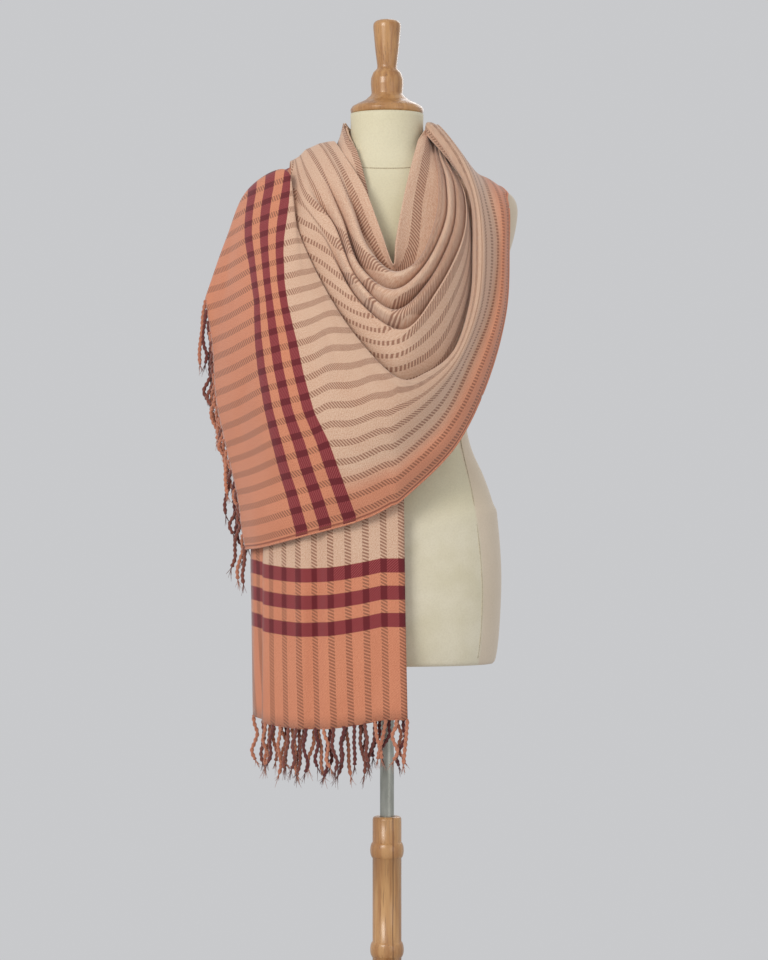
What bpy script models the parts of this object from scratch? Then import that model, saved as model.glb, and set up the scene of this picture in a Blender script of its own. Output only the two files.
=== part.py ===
"""A fringed woven stole, wound over a limbless dress form on a turned wooden stand.

The origin is the middle of the base's underside, on the floor. +Z is up and the form
faces -Y, so +X is the viewer's right. Tables are in millimetres: "across" is X,
"up" is Z and "out" is how far a point stands in front of the pole, towards -Y.
"""
import math

import bpy
import numpy as np

MM = 0.001
SEAM = 0.4 * MM

# Cloth
WALL = 1.2 * MM
TASSEL = 2.0 * MM
STRIP = 4.0 * MM

# Stand
BASE_RADIUS = 190 * MM
BASE_HEIGHT = 24 * MM
POLE_RADIUS = 9.8 * MM
POLE_LOW = 241 * MM
POST_RADIUS = 20.2 * MM
POST_TOP = 541 * MM
POST_BORE = 10.5 * MM
POST_BORE_FLOOR = 170 * MM
RING_HEIGHTS = (78, 217, 355, 494)
RING_SWELL = 3.4 * MM
RING_HALF = 11 * MM
SOCKET_RADIUS = 10.3 * MM
SOCKET_TOP = 816 * MM

# Form: one row for each section, from the flat underside to the top of the neck
FORM_SIDES = 32
FORM_COLUMNS = ("up", "half width", "front", "back", "squareness")
FORM = (
    (756, 148, 95, 103, 2.2),
    (763, 152, 99, 108, 2.2),
    (790, 156, 104, 114, 2.2),
    (835, 159, 107, 119, 2.2),
    (880, 160, 107, 120, 2.2),
    (922, 158, 104, 116, 2.2),
    (957, 154, 100, 109, 2.2),
    (990, 145, 95, 98, 2.2),
    (1020, 134, 90, 90, 2.2),
    (1048, 121, 85, 83, 2.2),
    (1075, 113, 81, 79, 2.2),
    (1105, 110, 80, 77, 2.2),
    (1145, 114, 85, 80, 2.2),
    (1190, 124, 96, 87, 2.2),
    (1235, 136, 108, 94, 2.2),
    (1275, 149, 112, 99, 2.2),
    (1310, 164, 108, 102, 2.2),
    (1345, 176, 98, 103, 2.2),
    (1375, 182, 87, 99, 2.2),
    (1395, 182, 79, 93, 2.2),
    (1410, 174, 72, 87, 2.2),
    (1421, 155, 67, 80, 2.2),
    (1433, 130, 63, 73, 2.2),
    (1445, 102, 59, 67, 2.1),
    (1456, 80, 56, 60, 2.1),
    (1467, 64, 53, 55, 2.0),
    (1480, 54, 51.5, 52, 2.0),
    (1500, 51, 51, 51, 2.0),
    (1523.8, 51, 51, 51, 2.0),
)

# Cowl: fold rims from the neckline down, read at stations along the stole
COWL_STATIONS = ("behind shoulder", "shoulder", "upper chest", "left chest", "lower left",
                 "lowest", "lower right", "right chest", "upper right", "neck side",
                 "behind neck")
COWL_ACROSS = {
    "selvedge": (-76, -73, -53, -30, -10, 8, 12, 22, 35, 48, 57),
    "roll": (-83, -80, -59, -37, -15, 9, 29, 37, 48, 56, 61),
    "first": (-96, -93, -70, -49, -26, 9, 46, 68, 71, 67, 66),
    "second": (-112, -112, -87, -62, -37, 8, 50, 80, 82, 73, 70),
    "third": (-123, -122, -107, -72, -43, 8, 55, 90, 94, 79, 74),
    "fourth": (-131, -129, -117, -86, -40, 21, 67, 103, 107, 88, 80),
    "margin": (-137, -134, -130, -105, -56, 8, 70, 110, 117, 100, 88),
}
COWL_UP = {
    "selvedge": (1477, 1484, 1451, 1410, 1355, 1304, 1339, 1395, 1452, 1499, 1507),
    "roll": (1476, 1483, 1446, 1402, 1346, 1297, 1335, 1397, 1453, 1490, 1500),
    "first": (1473, 1480, 1439, 1389, 1328, 1293, 1314, 1374, 1429, 1464, 1490),
    "second": (1466, 1471, 1425, 1370, 1301, 1268, 1300, 1364, 1420, 1461, 1486),
    "third": (1456, 1461, 1409, 1358, 1287, 1240, 1278, 1350, 1413, 1459, 1482),
    "fourth": (1450, 1456, 1395, 1339, 1255, 1213, 1266, 1340, 1402, 1452, 1476),
    "margin": (1446, 1450, 1356, 1281, 1203, 1135, 1155, 1246, 1346, 1443, 1469),
}
COWL_OUT = {
    "selvedge": (-22, 12, 64, 99, 124, 135, 118, 98, 72, 27, -6),
    "roll": (-22, 13, 65, 99, 121, 127, 108, 90, 66, 30, -3),
    "first": (-22, 14, 71, 104, 131, 150, 134, 103, 74, 40, 6),
    "second": (-22, 14, 75, 110, 137, 161, 142, 108, 77, 40, 8),
    "third": (-21, 14, 78, 114, 144, 171, 151, 113, 80, 39, 10),
    "fourth": (-19, 18, 82, 118, 151, 182, 159, 118, 82, 36, 12),
    "margin": (-14, 26, 78, 111, 147, 166, 148, 106, 84, 34, 12),
}
# How deep each fold is at each station: 0 is smooth cloth and 1 a full tuck
COWL_DEPTH = {
    "first": (0, 0, 0, 0.2, 0.8, 1, 1, 1, 0.4, 0, 0),
    "second": (0, 0, 0, 0.3, 0.9, 1, 0.9, 0.5, 0.1, 0, 0),
    "third": (0, 0, 0, 0.3, 0.9, 1, 0.8, 0.3, 0, 0, 0),
    "fourth": (0, 0, 0, 0, 0.4, 0.6, 0.4, 0, 0, 0, 0),
}
COWL_GAP = (9, 9, 11, 8, 4, 4, 4, 4, 9, 10, 6)
FOLD_TUCK = 9
FOLD_SHADE = 11
FOLD_BELLY = 5

# Front panel: lines along the stole, from the lower selvedge to the oblique step
PANEL_STATIONS = ("fringed edge", "outer bend", "first band", "last band", "by the step",
                  "left of middle", "nearly middle", "middle", "right of middle",
                  "right waist", "right bust", "right chest", "shoulder", "shoulder top",
                  "behind shoulder")
PANEL_ACROSS = {
    "selvedge": (-198, -172, -124, -57, -36, -16, 4, 24, 92, 136, 163, 168, 168, 158, 136),
    "border": (-204, -177, -131, -69, -46, -23, 0, 21, 83, 125, 154, 161, 158, 143, 123),
    "valley": (-209, -179, -137, -80, -55, -31, -5, 20, 74, 110, 141, 150, 139, 126, 108),
    "outer fold": (-222, -189, -151, -93, -67, -42, -13, 15, 64, 101, 128, 134, 127, 108, 79),
    "face": (-239, -206, -165, -112, -83, -55, -21, 14, 58, 97, 122, 128, 122, 102, 74),
    "upper face": (-245, -217, -178, -132, -101, -69, -28, 14, 54, 94, 117, 122, 118, 97, 69),
    "step": (-255, -226, -196, -138, -122, -84, -39, 14, 52, 91, 113, 117, 114, 91, 64),
    "tuck": (-251, -222, -172, -137, -131, -94, -47, 7, 47, 92, 117, 122, 118, 94, 68),
}
PANEL_UP = {
    "selvedge": (916, 920, 933, 951, 958, 966, 977, 989, 1057, 1145, 1244, 1337, 1391, 1421.5, 1421),
    "border": (948, 955, 970, 984, 989, 997, 1007, 1017, 1078, 1156, 1245, 1336, 1396, 1431, 1433),
    "valley": (987, 997, 1015, 1023, 1026, 1030, 1038, 1050, 1102, 1171, 1249, 1336, 1401, 1439, 1447),
    "outer fold": (1043, 1052, 1066, 1071, 1071, 1075, 1080, 1087, 1126, 1178, 1251, 1331, 1401,
                   1455, 1496),
    "face": (1121, 1131, 1148, 1144, 1136, 1127, 1120, 1116, 1138, 1182, 1253, 1329, 1400, 1458, 1499),
    "upper face": (1197, 1227, 1258, 1263, 1231, 1196, 1160, 1135, 1147, 1185, 1254, 1327, 1399,
                   1458, 1499),
    "step": (1265, 1348, 1417, 1433, 1353, 1270, 1201, 1148, 1155, 1188, 1256, 1324, 1398, 1455, 1496),
    "tuck": (1258, 1346, 1436, 1448, 1347, 1262, 1192, 1138, 1147, 1183, 1252, 1322, 1396, 1451, 1491),
}
PANEL_OUT = {
    "selvedge": (12, 60, 106, 130, 133, 136, 138, 138, 131, 110, 80, 58, 46, 8, -54),
    "border": (9, 62, 113, 141, 146, 150, 154, 157, 150, 130, 98, 74, 56, 14, -40),
    "valley": (6, 62, 117, 149, 156, 162, 166, 168, 158, 130, 94, 75, 63, 18, -24),
    "outer fold": (2, 60, 119, 153, 163, 172, 182, 190, 184, 155, 122, 107, 85, 57, 26),
    "face": (-2, 56, 116, 150, 163, 176, 189, 200, 191, 158, 127, 111, 90, 63, 34),
    "upper face": (-8, 44, 98, 126, 148, 169, 188, 202, 190, 156, 125, 109, 88, 63, 38),
    "step": (-16, -2, 20, 63, 96, 138, 173, 197, 184, 150, 118, 101, 83, 59, 36),
    "tuck": (-34, -22, -7, 47, 88, 130, 165, 188, 175, 142, 110, 94, 76, 52, 28),
}

# Corner thrown behind the shoulder: lines down its length, from the outer edge inwards
CORNER_STATIONS = ("shoulder", "upper", "lower", "fringed edge")
CORNER_ACROSS = {
    "outer": (-250, -249, -247, -244),
    "next": (-221, -232, -237, -232),
    "over tip": (-192, -206, -212, -205),
    "flat": (-161, -170, -177, -172),
    "ridge": (-128, -137, -143, -140),
    "inner": (-102, -108, -112, -110),
    "selvedge": (-77, -81, -86, -88),
}
CORNER_UP = {
    "outer": (1254, 1252, 1249, 1246),
    "next": (1343, 1310, 1270, 1238),
    "over tip": (1404, 1352, 1288, 1234),
    "flat": (1435, 1376, 1300, 1230),
    "ridge": (1454, 1402, 1310, 1228),
    "inner": (1470, 1418, 1316, 1230),
    "selvedge": (1477, 1424, 1320, 1236),
}
CORNER_OUT = {
    "outer": (-37, -42, -46, -50),
    "next": (-26, -46, -58, -63),
    "over tip": (-19, -54, -72, -77),
    "flat": (-15, -68, -84, -86),
    "ridge": (-22, -78, -90, -92),
    "inner": (-22.9, -86, -96, -97),
    "selvedge": (-22.9, -92, -102, -101),
}

# Stretch across the back: lines from the neck down, from the viewer's right to the left
BACK_STATIONS = ("right shoulder", "right back", "middle", "left back", "left neck")
BACK_ACROSS = {
    "collar": (60, 46, 0, -45, -58.5),
    "upper": (74, 66, 4, -54, -62.5),
    "middle": (94, 88, 8, -64, -67),
    "lower": (110, 106, 10, -74, -77),
    "selvedge": (128, 122, 10, -78, -87),
}
BACK_UP = {
    "collar": (1500, 1500, 1498, 1504, 1511.5),
    "upper": (1484, 1476, 1462, 1484, 1497),
    "middle": (1462, 1442, 1418, 1456, 1481),
    "lower": (1447, 1408, 1366, 1424, 1469),
    "selvedge": (1428, 1366, 1306, 1386, 1459.5),
}
BACK_OUT = {
    "collar": (-24, -40, -53, -36, 1.4),
    "upper": (-28, -50, -64, -46, 1.2),
    "middle": (-36, -64, -86, -58, 0.4),
    "lower": (-44, -76, -103, -72, -2.8),
    "selvedge": (-52, -90, -106, -88, -6.9),
}
BACK_PLEATS = 5
BACK_PLEAT_DEPTH = 4

# Hanging end: one row for each section, from the fringed edge up to the side of the neck
END_COLUMNS = ("inner across", "inner up", "inner out",
               "outer across", "outer up", "outer out", "layer gap", "lean")
END_SECTIONS = (
    (28, 686, 110, -187, 687, 10, 9.0, 0.0),
    (25, 835, 114, -189, 835, 10, 6.0, 0.0),
    (24, 908, 114, -190, 910, 8, 5.0, 0.0),
    (23, 985, 113, -184, 990, 12, 4.4, 0.0),
    (21, 1060, 112, -170, 1068, 26, 4.2, 0.0),
    (20, 1121, 112, -156, 1135, 38, 4.0, 0.0),
    (15, 1216, 112, -136, 1232, 56, 3.8, 0.0),
    (3, 1303, 112, -124, 1320, 66, 3.4, 0.0),
    (-10, 1347, 100, -112, 1364, 60, 3.2, 0.0),
    (-25, 1400, 80, -100, 1410, 50, 3.0, 0.1),
    (-37, 1455, 55, -92, 1440, 36, 2.8, 0.4),
    (-47, 1484, 30, -86, 1455, 16, 2.8, 0.7),
    (-56, 1510, 2, -84, 1458, -6, 2.8, 1.0),
)
END_FORM_GAP = 4
END_SINK = 5
# Folded in three: share of the width (0 inner edge, 1 outer edge) and layer (2 is outermost)
END_ZIGZAG = (
    (0.00, 2.0), (0.12, 2.0), (0.25, 2.0), (0.38, 2.0), (0.50, 2.0), (0.58, 1.8), (0.66, 2.1),
    (0.76, 2.0), (0.855, 2.0), (0.885, 1.5),
    (0.855, 1.0), (0.60, 1.0), (0.32, 1.0), (0.06, 1.0), (0.03, 0.5),
    (0.06, 0.0), (0.30, 0.0), (0.55, 0.0), (0.78, 0.0), (0.90, 0.0), (1.00, 0.0),
)
HEM_SAG = 15

# Fringe: where a tassel hangs beside its root, as across, back and length. Beside the
# upright edge five lanes fan out in turn; below a hem the tassels hang under their roots
EDGE_TASSELS = 19
CORNER_TASSELS = 12
HEM_TASSELS = (15, 12, 12)
LANES_BESIDE = ((-9.5, 0.8, 60), (0, 9.8, 62), (-8, 5.2, 66), (5, 8.5, 58), (-4.8, 8.7, 64))
LANES_BELOW = ((0, 0.8, 62), (0.6, -0.8, 70), (-0.6, 0.5, 58), (0, -0.5, 66))


def through(points, steps):
    """A smooth path through points along their first axis, with steps in each span."""
    points = np.asarray(points, dtype=float)
    start = 2 * points[0] - points[1]
    end = 2 * points[-1] - points[-2]
    knots = np.concatenate([start[None], points, end[None]])
    found = []
    for span in range(len(points) - 1):
        a, b, c, d = knots[span:span + 4]
        for step in range(steps):
            t = step / steps
            found.append(b + 0.5 * t * (c - a + t * (2 * a - 5 * b + 4 * c - d
                                                     + t * (3 * (b - c) + d - a))))
    found.append(points[-1])
    return np.array(found)


def net(rows, across, along):
    """A smooth sheet through rows of points, with steps across and along each span."""
    sheet = through(rows, across)
    return through(sheet.transpose(1, 0, 2), along).transpose(1, 0, 2)


def lines(across, up, out):
    """The rows of three tables with the same names, as points: across, up and out."""
    return np.array([np.stack([across[name], up[name], out[name]], axis=1) for name in across])


def place(sheet):
    """Across, up and out in millimetres, turned into X, Y and Z in metres."""
    return np.stack([sheet[..., 0], -sheet[..., 2], sheet[..., 1]], axis=-1) * MM


def form_section(up):
    """The form's half width, front, back and squareness at a height."""
    table = np.array(FORM)
    return [np.interp(up, table[:, 0], table[:, column]) for column in range(1, 5)]


def form_front(across, up):
    """How far out the form's front stands at a place, or well behind it past its side."""
    width, front, back, power = form_section(up)
    share = np.clip(1 - np.abs(across / width) ** power, 0, None)
    return np.where(share > 0, front * share ** (1 / power), -200.0)


def clear_form(sheet, gap):
    """Move each point that is inside the form, grown by the gap, straight out of it."""
    across, up, out = sheet[..., 0], sheet[..., 1], sheet[..., 2]
    width, front, back, power = form_section(up)
    depth = np.where(out > 0, front, back) + gap
    reach = (np.abs(across / (width + gap)) ** power + np.abs(out / depth) ** power) ** (1 / power)
    grow = np.where((reach < 1) & (up < FORM[-1][0]), 1 / np.maximum(reach, 0.3), 1.0)
    return np.stack([across * grow, up, out * grow], axis=-1)


def new_material(name, colour, roughness, metallic=0.0):
    material = bpy.data.materials.new(name)
    material.use_nodes = True
    shader = material.node_tree.nodes["Principled BSDF"]
    shader.inputs["Base Color"].default_value = (*colour, 1.0)
    shader.inputs["Roughness"].default_value = roughness
    shader.inputs["Metallic"].default_value = metallic
    return material


def new_part(name, vertices, faces, material):
    mesh = bpy.data.meshes.new(name)
    mesh.from_pydata([tuple(map(float, vertex)) for vertex in vertices], [], faces)
    mesh.materials.append(material)
    part = bpy.data.objects.new(name, mesh)
    PARTS.objects.link(part)
    return part


def cloth(name, sheet, material):
    """A cloth wall: an open sheet of points with a Solidify modifier."""
    rows, columns = sheet.shape[:2]
    faces = []
    for row in range(rows - 1):
        for column in range(columns - 1):
            corner = row * columns + column
            faces.append((corner, corner + 1, corner + columns + 1, corner + columns))
    part = new_part(name, place(sheet).reshape(-1, 3), faces, material)
    part.data.shade_smooth()
    wall = part.modifiers.new("wall", "SOLIDIFY")
    wall.thickness = WALL
    wall.offset = 0.0
    return part


def turned(name, profile, steps, material):
    """A turned solid: a profile in millimetres, from the axis at its top to the axis below."""
    points = [(radius * MM, 0.0, up * MM) for radius, up in profile]
    edges = [(index, index + 1) for index in range(len(points) - 1)]
    mesh = bpy.data.meshes.new(name)
    mesh.from_pydata(points, edges, [])
    mesh.materials.append(material)
    part = bpy.data.objects.new(name, mesh)
    PARTS.objects.link(part)
    spin = part.modifiers.new("turned", "SCREW")
    spin.steps = steps
    spin.render_steps = steps
    spin.use_merge_vertices = True
    spin.merge_threshold = 0.00001
    spin.use_smooth_shade = True
    return part


# The form and its stand


def form_torso():
    """Rings lofted from the socket for the pole, out across the underside and up the body."""
    angles = np.arange(FORM_SIDES) * 2 * math.pi / FORM_SIDES
    circle = np.stack([np.cos(angles), np.sin(angles)], axis=1)
    rings = []
    for up in (SOCKET_TOP, FORM[0][0] * MM):
        rings.append(np.column_stack([circle * SOCKET_RADIUS, np.full(FORM_SIDES, up)]))
    for up, width, front, back, power in FORM:
        reach = np.abs(circle) ** (2 / power) * np.sign(circle)
        depth = np.where(circle[:, 1] < 0, front, back)
        ring = np.column_stack([reach[:, 0] * width, reach[:, 1] * depth,
                                np.full(FORM_SIDES, up)])
        rings.append(ring * MM)
    vertices = np.concatenate(rings)
    faces = [tuple(range(FORM_SIDES))]
    for ring in range(len(rings) - 1):
        for side in range(FORM_SIDES):
            after = (side + 1) % FORM_SIDES
            low = ring * FORM_SIDES
            high = low + FORM_SIDES
            faces.append((low + side, high + side, high + after, low + after))
    top = (len(rings) - 1) * FORM_SIDES
    faces.append(tuple(range(top, top + FORM_SIDES)))
    faces = [face if len(face) > 4 else face[::-1] for face in faces]
    faces[0] = faces[0][::-1]
    part = new_part("form_torso", vertices, faces, JERSEY)
    part.data.shade_smooth()
    return part


def neck_block():
    profile = ((0, 1656.5), (10, 1656), (16, 1654), (19, 1650.5), (19.4, 1646), (16.6, 1615),
               (13.6, 1591), (14, 1587.5), (19.5, 1582), (22.4, 1574), (22.8, 1566),
               (21.6, 1552.5), (23.5, 1549.5), (31, 1543), (41, 1538.5), (48.5, 1534.5),
               (51.3, 1530), (50.6, 1526), (48.5, 1524.2), (0, 1524.2))
    return turned("neck_block", profile, 24, WOOD)


def stand_pole():
    top = SOCKET_TOP / MM - 0.4
    low = POLE_LOW / MM
    radius = POLE_RADIUS / MM
    profile = ((0, top), (radius - 1, top), (radius, top - 1), (radius, low + 1),
               (radius - 1, low), (0, low))
    return turned("stand_pole", profile, 24, METAL)


def stand_post():
    """A post with bead rings, like a length of cane, and the bore that the pole slides in."""
    radius = POST_RADIUS / MM
    swell = RING_SWELL / MM
    half = RING_HALF / MM
    top = POST_TOP / MM
    foot = BASE_HEIGHT / MM + 0.4
    bore = POST_BORE / MM
    floor = POST_BORE_FLOOR / MM
    profile = [(0, floor), (bore, floor), (bore, top - 1), (bore + 1, top)]
    profile += [(radius - 3, top), (radius - 0.8, top - 1.2), (radius, top - 4)]
    for middle in reversed(RING_HEIGHTS):
        for turn in (90, 45, 12, -12, -45, -90):
            angle = math.radians(turn)
            profile.append((radius + swell * math.cos(angle), middle + half * math.sin(angle)))
    profile += [(radius, foot), (0, foot)]
    return turned("stand_post", profile, 24, WOOD)


def stand_base():
    """A round base with a stepped moulding; the post stands on its middle."""
    radius = BASE_RADIUS / MM
    height = BASE_HEIGHT / MM
    profile = ((0, height), (44, height), (50, height - 1.5), (53, height - 4),
               (radius - 14, height - 6), (radius - 5, height - 8), (radius, height - 13),
               (radius, 4), (radius - 3, 0), (0, 0))
    return turned("stand_base", profile, 40, WOOD)


# The stole


def cowl_sheet(across=2, along=2):
    """Nested hanging folds: below each rim the cloth bellies out, then tucks in under the
    next rim. Where a fold has no depth, the same lines lie evenly on smooth cloth."""
    rims = dict(zip(COWL_ACROSS, lines(COWL_ACROSS, COWL_UP, COWL_OUT)))
    names = list(rims)
    rows = [rims["selvedge"], rims["roll"]]
    for upper, lower in zip(names[1:-2], names[2:-1]):
        depth = np.array(COWL_DEPTH[lower])[:, None]
        fall = rims[lower] - rims[upper]
        size = np.maximum(np.linalg.norm(fall[:, :2], axis=1, keepdims=True), 1.0)
        belly = rims[upper] + fall * 0.35
        belly[:, 2:] += FOLD_BELLY * depth
        tucked = rims[upper] + fall * (0.7 + 0.3 * depth) + fall / size * FOLD_TUCK * depth
        tucked[:, 2:] = rims[upper][:, 2:] + fall[:, 2:] * 0.7
        tucked[:, 2:] += (fall[:, 2:] * 0.3 - FOLD_SHADE) * depth
        if upper != "roll":
            rows.append(belly)
        rows += [tucked, rims[lower]]
    flank = rims["margin"] - rims["fourth"]
    depth = np.array(COWL_DEPTH["fourth"])[:, None]
    for share, swell in ((0.18, 5), (0.5, 7), (0.8, 2)):
        row = rims["fourth"] + flank * share
        row[:, 2:] += swell * depth
        rows.append(row)
    rows.append(rims["margin"])
    gap = through(np.array(COWL_GAP)[:, None], along)[:, 0]
    return clear_form(net(np.array(rows), across, along), gap)


def panel_sheet(across=2, along=2):
    return clear_form(net(lines(PANEL_ACROSS, PANEL_UP, PANEL_OUT), across, along), 4.7)


def corner_sheet(across=2, along=4):
    return clear_form(net(lines(CORNER_ACROSS, CORNER_UP, CORNER_OUT), across, along), 3)


def back_sheet(across=3, along=4):
    """Five lines across the back, with soft lengthwise pleats between them."""
    sheet = net(lines(BACK_ACROSS, BACK_UP, BACK_OUT), across, along)
    wave = np.cos(np.linspace(0, BACK_PLEATS * 2 * math.pi, len(sheet)))[:, None]
    fade = np.sin(np.linspace(0.2, 1, sheet.shape[1]) * math.pi)[None]
    sheet[..., 2] -= BACK_PLEAT_DEPTH * (1 + wave) * fade
    return clear_form(sheet, np.linspace(3, 6, sheet.shape[1]))


def end_sheet(along=2):
    """A base strip runs from the hem to the neck, clear of the form; near the neck it sinks
    into the corner over the shoulder. Three layers lie over it, squarely parted."""
    sections = through(END_SECTIONS, along)[:, None]
    inner, outer, gap, sink = np.split(sections, (3, 6, 7), axis=2)
    shares = np.linspace(0, 1, 21)
    base = inner + (outer - inner) * np.stack([shares, shares, shares ** 3], axis=1)
    sink = END_SINK * sink[..., 0] * np.sin(math.pi * shares)
    base[..., 0] += sink
    base[..., 1] -= sink
    base = clear_form(base, END_FORM_GAP)
    square = np.cross(np.gradient(base, axis=0), np.gradient(base, axis=1))
    square *= gap / np.linalg.norm(square, axis=2, keepdims=True)
    columns = []
    for share, layer in END_ZIGZAG:
        place_in = share * (len(shares) - 1)
        low = min(int(place_in), len(shares) - 2)
        blend = place_in - low
        over = base + square * layer
        columns.append(over[:, low] * (1 - blend) + over[:, low + 1] * blend)
    rows = np.stack(columns, axis=1)
    shares = np.array([share for share, layer in END_ZIGZAG])
    sag = HEM_SAG * np.clip(np.sin((shares - 0.15) * math.pi / 0.95), 0, None)
    fade = np.clip((900 - rows[:, :1, 1]) / 200, 0, 1) ** 2
    rows[..., 1] -= sag[None] * fade
    return rows


def fringe(name, edge, away, count, lanes):
    """A narrow strip of roots along a cloth edge, with four-sided tassels hanging from it.

    edge is the path of the cloth's edge and away the direction out of the cloth, both in
    metres. A tassel under a hem hangs straight down. Beside an upright edge it hangs along
    the edge, each in its own lane, so that the tassels stay apart."""
    upright = lanes is LANES_BESIDE
    edge = np.asarray(edge, dtype=float)
    run = np.concatenate([[0.0], np.cumsum(np.linalg.norm(np.diff(edge, axis=0), axis=1))])
    guide_run = np.concatenate([[-0.1], run])
    guide = np.concatenate([[edge[0] - [0, 0, 0.1]], edge])
    half = TASSEL / 2
    clear = np.mean(away / np.linalg.norm(away, axis=1, keepdims=True), axis=0)
    clear *= (SEAM + STRIP + 1.5 * MM) / np.linalg.norm(clear)
    roots = np.linspace(3 * half, run[-1] - 3 * half, count)
    cuts = np.sort(np.concatenate([roots - half, roots + half]))

    def at(values, where, along=run):
        return np.array([np.interp(where, along, values[:, axis]) for axis in range(3)])

    vertices = []
    faces = []
    for cut in cuts:
        outward = at(away, cut)
        outward /= np.linalg.norm(outward)
        side = np.cross(outward, at(edge, cut + half) - at(edge, cut - half))
        side *= half / np.linalg.norm(side)
        near = at(edge, cut) + outward * 2 * SEAM
        far = near + outward * STRIP
        vertices += [near + side, near - side, far - side, far + side]
    last = 4 * (len(cuts) - 1)
    faces += [(0, 1, 2, 3), (last + 3, last + 2, last + 1, last)]
    for low in range(0, last, 4):
        for corner in range(4):
            after = (corner + 1) % 4
            rooted = corner == 2 and low % 8 == 0
            if not rooted:
                faces.append((low + corner, low + 4 + corner, low + 4 + after, low + after))
    for index, root in enumerate(roots):
        low = 8 * index
        ring = [low + 2, low + 6, low + 7, low + 3]
        corners = np.array([vertices[number] for number in ring])
        start = corners.mean(axis=0)
        side = corners[3] - corners[0]
        side /= np.linalg.norm(side)
        across, back, length = lanes[index % len(lanes)]
        lane = np.array([across, back, 0.0]) * MM
        path = [start]
        for share, spread in ((0.02, 0.3), (0.14, 1.0), (0.55, 1.04), (1.0, 0.98)):
            drop = share * length * MM
            if upright:
                hung = at(guide, root - drop, guide_run)
            else:
                hung = at(edge, root) - [0, 0, drop]
            path.append(hung + clear + lane * spread)
        for step in range(1, len(path)):
            ahead = path[min(step + 1, len(path) - 1)] - path[step - 1]
            ahead /= np.linalg.norm(ahead)
            u = side - ahead * side.dot(ahead)
            u /= np.linalg.norm(u)
            v = np.cross(u, ahead)
            first = len(vertices)
            for along_u, along_v in ((-1, -1), (-1, 1), (1, 1), (1, -1)):
                vertices.append(path[step] + half * (u * along_u + v * along_v))
            new = [first, first + 1, first + 2, first + 3]
            for corner in range(4):
                after = (corner + 1) % 4
                faces.append((ring[corner], ring[after], new[after], new[corner]))
            ring = new
        faces.append(tuple(ring))
    return new_part(name, vertices, faces, YARN)


for old in list(bpy.data.objects):
    bpy.data.objects.remove(old, do_unlink=True)
PARTS = bpy.data.collections.new("stole_on_dress_form")
bpy.context.scene.collection.children.link(PARTS)

TERRACOTTA = new_material("terracotta cloth", (0.60, 0.26, 0.15), 0.9)
ECRU = new_material("ecru cloth", (0.66, 0.47, 0.33), 0.9)
YARN = new_material("fringe yarn", (0.36, 0.13, 0.09), 0.9)
JERSEY = new_material("cream jersey", (0.72, 0.66, 0.47), 0.85)
WOOD = new_material("varnished wood", (0.55, 0.29, 0.12), 0.35)
METAL = new_material("pole metal", (0.55, 0.56, 0.54), 0.3, 1.0)

form_torso()
neck_block()
stand_pole()
stand_post()
stand_base()

panel = panel_sheet()
corner = corner_sheet()
hanging = end_sheet()
cloth("stole_front_panel", panel, TERRACOTTA)
cloth("stole_cowl", cowl_sheet(), ECRU)
cloth("stole_shoulder_end", corner, TERRACOTTA)
cloth("stole_back", back_sheet(), ECRU)
cloth("stole_hanging_end", hanging, TERRACOTTA)

ridge = 2 * (len(PANEL_ACROSS) - 2) + 1
edge = place(panel[:ridge, 0])
fringe("fringe_thrown_edge", edge, edge - place(panel[:ridge, 1]), EDGE_TASSELS, LANES_BESIDE)
edge = place(corner[:, -1])
fringe("fringe_thrown_corner", edge, edge - place(corner[:, -2]), CORNER_TASSELS, LANES_BELOW)
layers = (("outer", 0, 9), ("middle", 10, 14), ("inner", 15, 21))
for (layer, first, last), count in zip(layers, HEM_TASSELS):
    edge = place(hanging[0, first:last])
    away = edge - place(hanging[1, first:last])
    fringe("fringe_hanging_" + layer, edge, away, count, LANES_BELOW)
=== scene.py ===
"""A fringed woven stole, wound over a limbless dress form on a turned wooden stand.

The frame's origin is the middle of the base's underside. +Z is up, the form faces -Y and
+X is the viewer's right. Tables are in millimetres: "across" is X, "up" is Z and "out" is
how far a point stands in front of the pole, towards -Y.
"""
import math

import bpy
import numpy as np
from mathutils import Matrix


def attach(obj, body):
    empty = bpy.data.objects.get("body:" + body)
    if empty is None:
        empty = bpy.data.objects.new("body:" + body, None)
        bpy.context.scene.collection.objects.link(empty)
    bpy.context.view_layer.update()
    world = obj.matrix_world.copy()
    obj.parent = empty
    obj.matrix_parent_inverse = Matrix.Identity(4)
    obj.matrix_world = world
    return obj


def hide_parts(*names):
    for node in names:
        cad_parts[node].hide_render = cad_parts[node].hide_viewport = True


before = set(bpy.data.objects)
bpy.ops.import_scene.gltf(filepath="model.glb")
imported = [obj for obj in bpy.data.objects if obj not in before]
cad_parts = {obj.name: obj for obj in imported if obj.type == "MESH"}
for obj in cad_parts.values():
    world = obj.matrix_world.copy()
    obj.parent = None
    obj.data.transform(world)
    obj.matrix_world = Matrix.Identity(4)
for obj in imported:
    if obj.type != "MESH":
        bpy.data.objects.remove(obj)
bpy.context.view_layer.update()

# Camera
# A level portrait view from 4.2 m in front, 1.344 m tall where the pole stands.
EYE = (-0.0042, -4.2, 1.0118)
VIEW_HEIGHT = 1.344
FILM_HEIGHT = 24

lens = bpy.data.cameras.new("lens")
lens.sensor_fit = "VERTICAL"
lens.sensor_height = FILM_HEIGHT
lens.lens = FILM_HEIGHT * -EYE[1] / VIEW_HEIGHT
camera = bpy.data.objects.new("camera", lens)
camera.location = EYE
camera.rotation_euler = (math.pi / 2, 0, 0)
bpy.context.scene.collection.objects.link(camera)
bpy.context.scene.camera = camera
bpy.context.scene.view_settings.view_transform = "Standard"


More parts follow.
